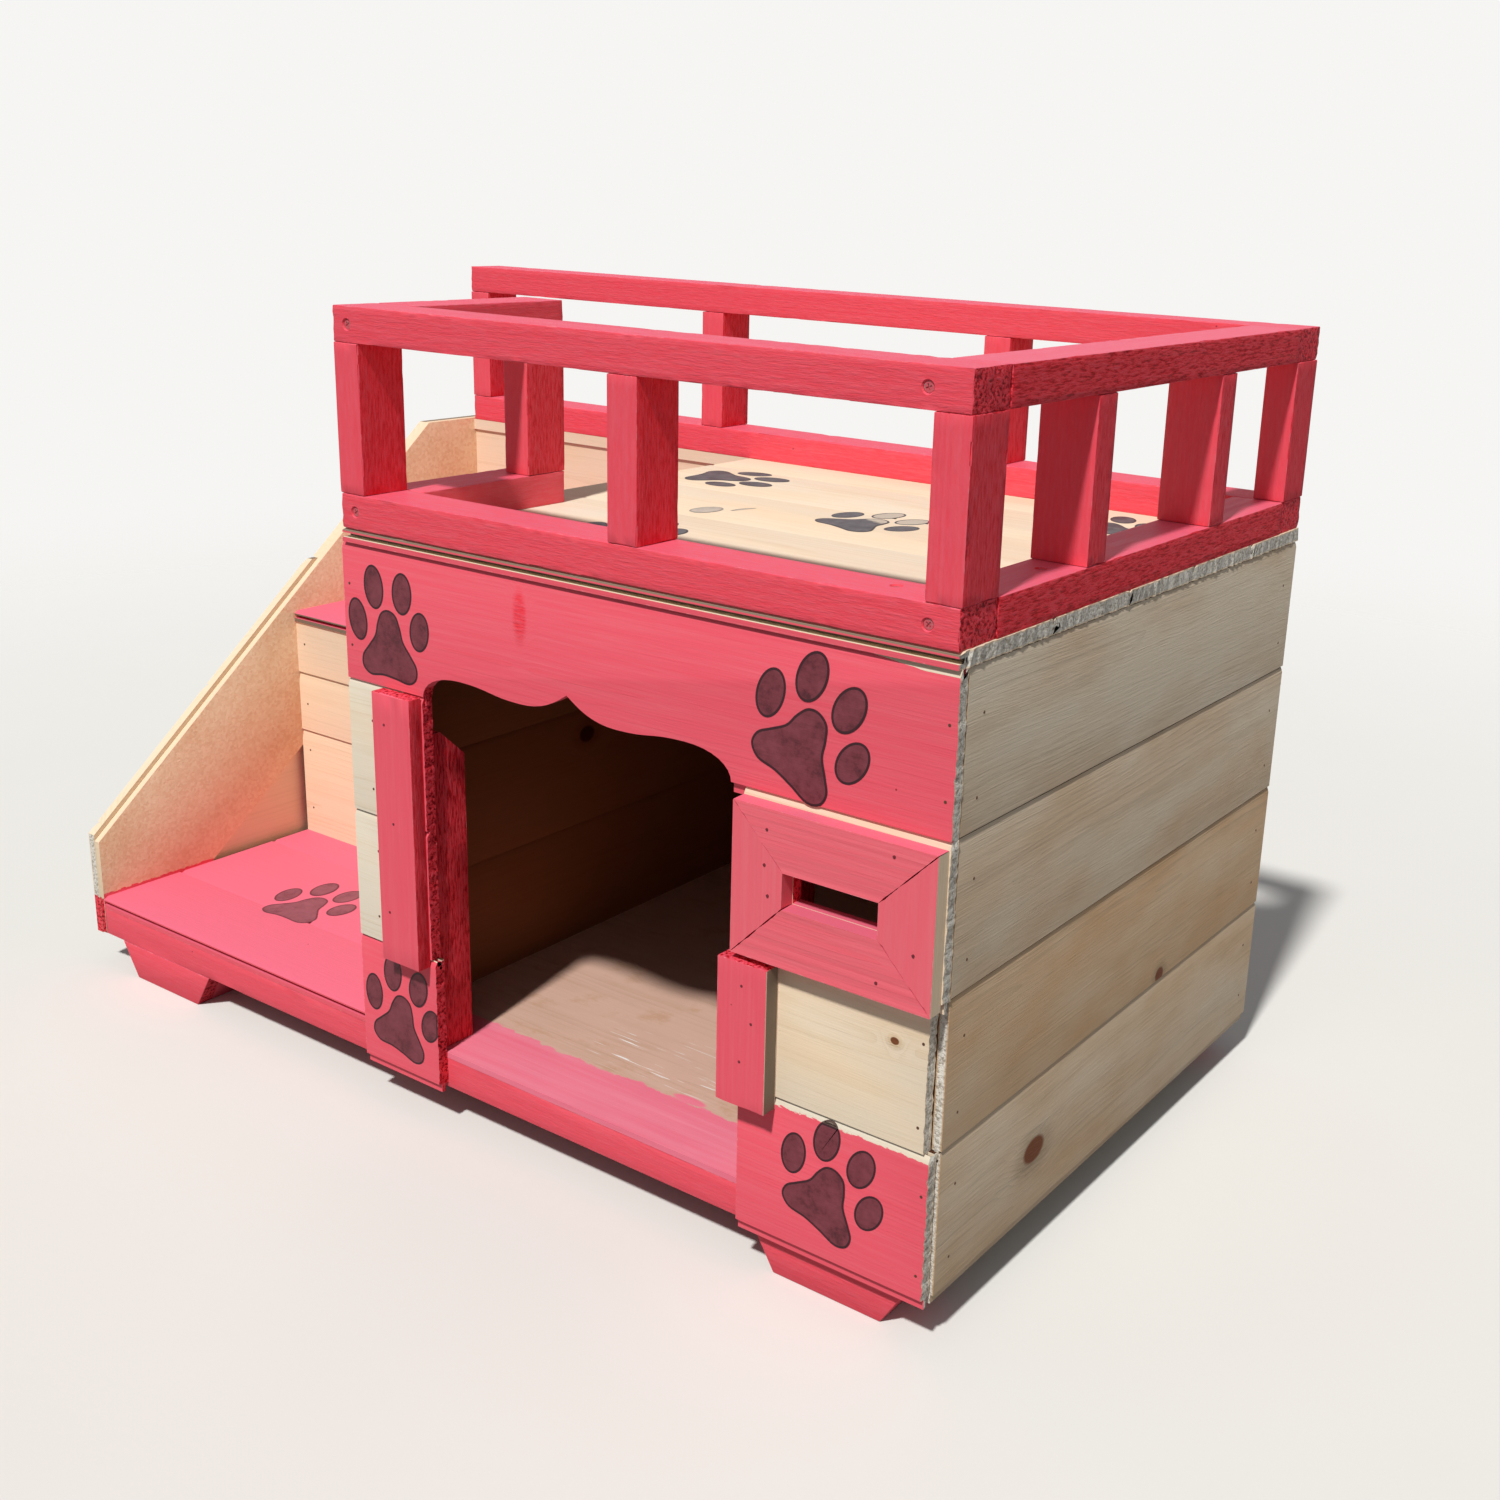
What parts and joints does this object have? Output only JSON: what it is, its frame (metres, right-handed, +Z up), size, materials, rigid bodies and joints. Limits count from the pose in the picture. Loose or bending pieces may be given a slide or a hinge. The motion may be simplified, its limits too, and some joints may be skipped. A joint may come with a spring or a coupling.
{
  "type": "dog house",
  "caption": "Painted pine dog house: board cabin with a scalloped doorway and slot, a flat roof deck inside a low railing, and a boxed side staircase with a landing.",
  "frame": {"origin": "on the ground, at the middle of the underside of the whole object's box", "axes": "+Z up, front with the doorway towards -Y, staircase at -X, cabin at +X"},
  "size_m": [1.226, 0.72, 0.834],
  "materials": {
    "paint": "rough painted pine, coral pink",
    "pine": "bare planed pine",
    "weathered_pine": "bare pine, greyed",
    "rough_sheet": "rough sheet, orange tan",
    "floor_sheet": "bare plywood, worn"
  },
  "bodies": {
    "root": {"back_wall": "weathered_pine", "base_back_batten": "pine", "base_front_batten": "paint", "base_left_batten": "pine", "base_middle_batten": "pine", "base_right_batten": "pine", "deck_board_1": "pine", "deck_board_2": "pine", "deck_board_3": "pine", "deck_board_4": "pine", "deck_board_5": "pine", "door_stud_left": "paint", "door_stud_right": "paint", "floor_sheet": "floor_sheet", "foot_back_left": "paint", "foot_back_right": "paint", "foot_front_left": "paint", "foot_front_right": "paint", "front_left_board_1": "paint", "front_left_board_2": "pine", "front_left_board_3": "pine", "front_right_board_1": "paint", "front_right_board_2": "pine", "front_right_board_3": "pine", "header_board": "paint", "left_trim_batten": "paint", "left_wall": "pine", "lower_rail_back": "paint", "lower_rail_front": "paint", "lower_rail_left": "paint", "lower_rail_right": "paint", "post_back_inner_left": "paint", "post_back_left": "paint", "post_back_middle": "paint", "post_back_right": "paint", "post_front_left": "paint", "post_front_middle": "paint", "post_front_right": "paint", "post_left_end": "paint", "post_right_back": "paint", "post_right_front": "paint", "right_trim_batten": "paint", "right_wall_board_1": "weathered_pine", "right_wall_board_2": "weathered_pine", "right_wall_board_3": "weathered_pine", "right_wall_board_4": "weathered_pine", "slot_frame_bottom": "paint", "slot_frame_left": "paint", "slot_frame_right": "paint", "slot_frame_top": "paint", "stair_back_lining": "pine", "stair_landing": "paint", "stair_riser": "pine", "stair_side_boards": "weathered_pine", "stair_side_sheet": "rough_sheet", "stair_upper_tread": "paint", "upper_rail_back": "paint", "upper_rail_front": "paint", "upper_rail_left": "paint", "upper_rail_right": "paint"}
  },
  "joints": []
}
